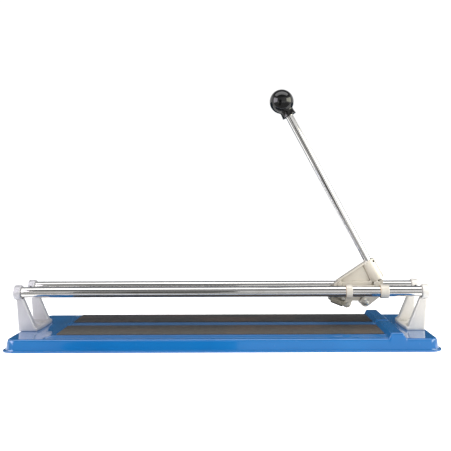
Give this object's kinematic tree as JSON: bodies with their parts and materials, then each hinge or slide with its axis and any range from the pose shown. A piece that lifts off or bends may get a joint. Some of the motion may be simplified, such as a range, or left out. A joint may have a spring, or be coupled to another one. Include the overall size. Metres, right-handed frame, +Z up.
{
  "type": "tile cutter",
  "caption": "Rail tile cutter: pressed base with padded bed and fence, twin guide rails on cast end brackets, sliding carriage with sprung scoring lever, ball knob and breaker foot.",
  "frame": {"origin": "centre of the base's footprint, on the surface it stands on", "axes": "+X along the rails towards the fence, +Y away from the user, +Z up"},
  "size_m": [0.628, 0.19, 0.3833],
  "materials": {
    "base_paint": "glossy blue baked enamel over pressed steel",
    "pad_rubber": "matt ribbed rubber sheet",
    "bracket_casting": "satin die-cast with a fine cast grain",
    "carriage_casting": "satin die-cast with a fine cast grain",
    "lever_casting": "satin die-cast with a fine cast grain",
    "foot_casting": "satin die-cast, worn at the edges",
    "rail_chrome": "polished chrome plate",
    "rod_chrome": "polished chrome plate",
    "dark_steel": "black oxide",
    "zinc_steel": "bright zinc plate",
    "spring_steel": "drawn spring wire",
    "bush_bronze": "oiled sintered bronze",
    "washer_nylon": "natural nylon",
    "knob_plastic": "polished black phenolic",
    "wheel_steel": "ground carbide",
    "foot_rubber": "matt rubber"
  },
  "bodies": {
    "root": {"base_plate": "base_paint", "front_pad": "pad_rubber", "rear_pad": "pad_rubber", "left_bracket": "bracket_casting", "right_bracket": "bracket_casting", "front_rail": "rail_chrome", "rear_rail": "rail_chrome", "rail_set_screws": "dark_steel", "bracket_screws": "zinc_steel", "bracket_washers": "zinc_steel", "bracket_nuts": "zinc_steel"},
    "carriage": {"carriage_body": "carriage_casting", "left_rail_bushes": "bush_bronze", "right_rail_bushes": "bush_bronze", "pivot_bolt": "zinc_steel", "pivot_nut": "zinc_steel", "thrust_washers": "washer_nylon", "return_spring": "spring_steel"},
    "lever": {"lever_casting": "lever_casting", "handle_rod": "rod_chrome", "ball_knob": "knob_plastic", "handle_set_screw": "dark_steel", "wheel_axle": "zinc_steel", "wheel_axle_nut": "zinc_steel", "foot_pin": "zinc_steel"},
    "wheel": {"cutting_wheel": "wheel_steel"},
    "foot": {"breaker_foot": "foot_casting", "foot_pads": "foot_rubber"}
  },
  "joints": [
    {"name": "carriage_slide", "type": "slide", "parent": "root", "child": "carriage", "axis": [1, 0, 0], "range_m": [-0.481, 0.044]},
    {"name": "lever_pivot", "type": "hinge", "parent": "carriage", "child": "lever", "pos_m": [0.218, 0, 0.057], "axis": [0, 1, 0], "range_deg": [-37, 0], "stiffness_Nm_per_rad": 0.8, "springref_deg": 34.38},
    {"name": "wheel_spin", "type": "hinge", "parent": "lever", "child": "wheel", "pos_m": [0.1915, 0, 0.0521], "axis": [0, 1, 0], "continuous": true},
    {"name": "foot_swing", "type": "hinge", "parent": "lever", "child": "foot", "pos_m": [0.184, 0, 0.0615], "axis": [0, 1, 0], "range_deg": [0, 22]}
  ]
}
